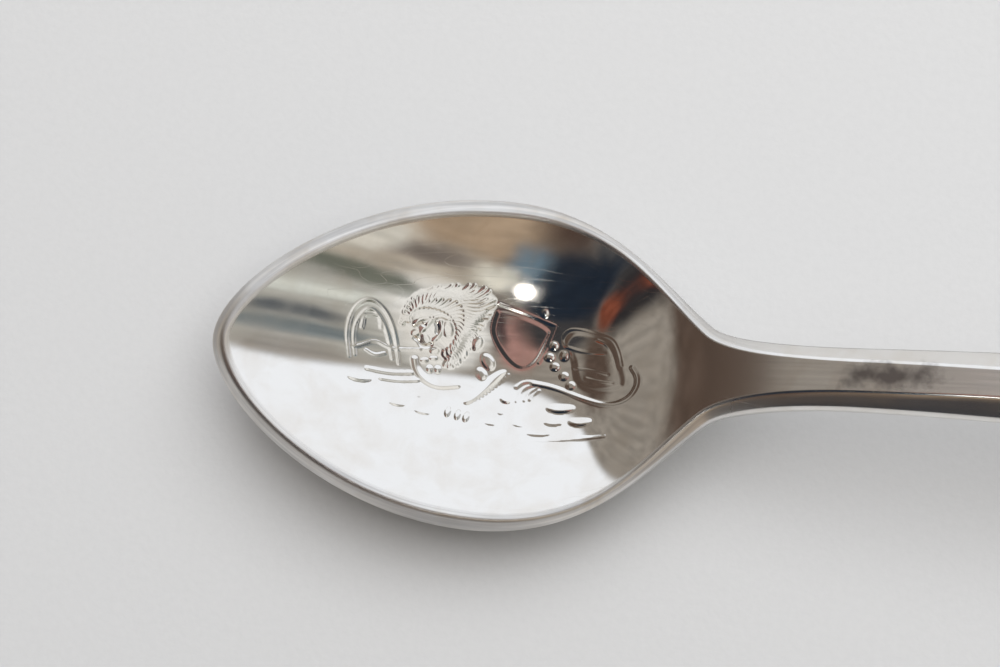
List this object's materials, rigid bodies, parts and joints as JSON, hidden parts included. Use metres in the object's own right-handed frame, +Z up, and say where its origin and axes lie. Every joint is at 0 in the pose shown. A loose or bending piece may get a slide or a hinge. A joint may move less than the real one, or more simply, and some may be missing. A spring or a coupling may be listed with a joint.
{
  "type": "souvenir spoon",
  "caption": "Small silver-plated souvenir spoon with an oval bowl embossed with a resting lion, a bevelled stem and an enamelled shield crest at the handle's end.",
  "frame": {"origin": "on the table, under the middle of the spoon's box, with the spoon lying bowl up", "axes": "+X along the spoon from the bowl to the crest, +Y to the left of that, +Z up out of the bowl's hollow"},
  "size_m": [0.116, 0.025, 0.0118],
  "materials": {
    "silver_plate": "mirror polish with fine use scratches and a slight haze",
    "solder": "dull",
    "crest_metal": "struck and polished",
    "enamel_blue": "fired glossy enamel",
    "enamel_yellow": "fired glossy enamel",
    "enamel_white": "fired glossy enamel",
    "enamel_green": "fired glossy enamel",
    "enamel_navy": "fired glossy enamel"
  },
  "bodies": {
    "root": {"spoon_body": "silver_plate", "crest_solder": "solder", "crest_plate": "crest_metal", "enamel_sky": "enamel_blue", "enamel_sun": "enamel_yellow", "enamel_peaks": "enamel_white", "enamel_meadow": "enamel_green", "enamel_lake": "enamel_navy"}
  },
  "joints": []
}
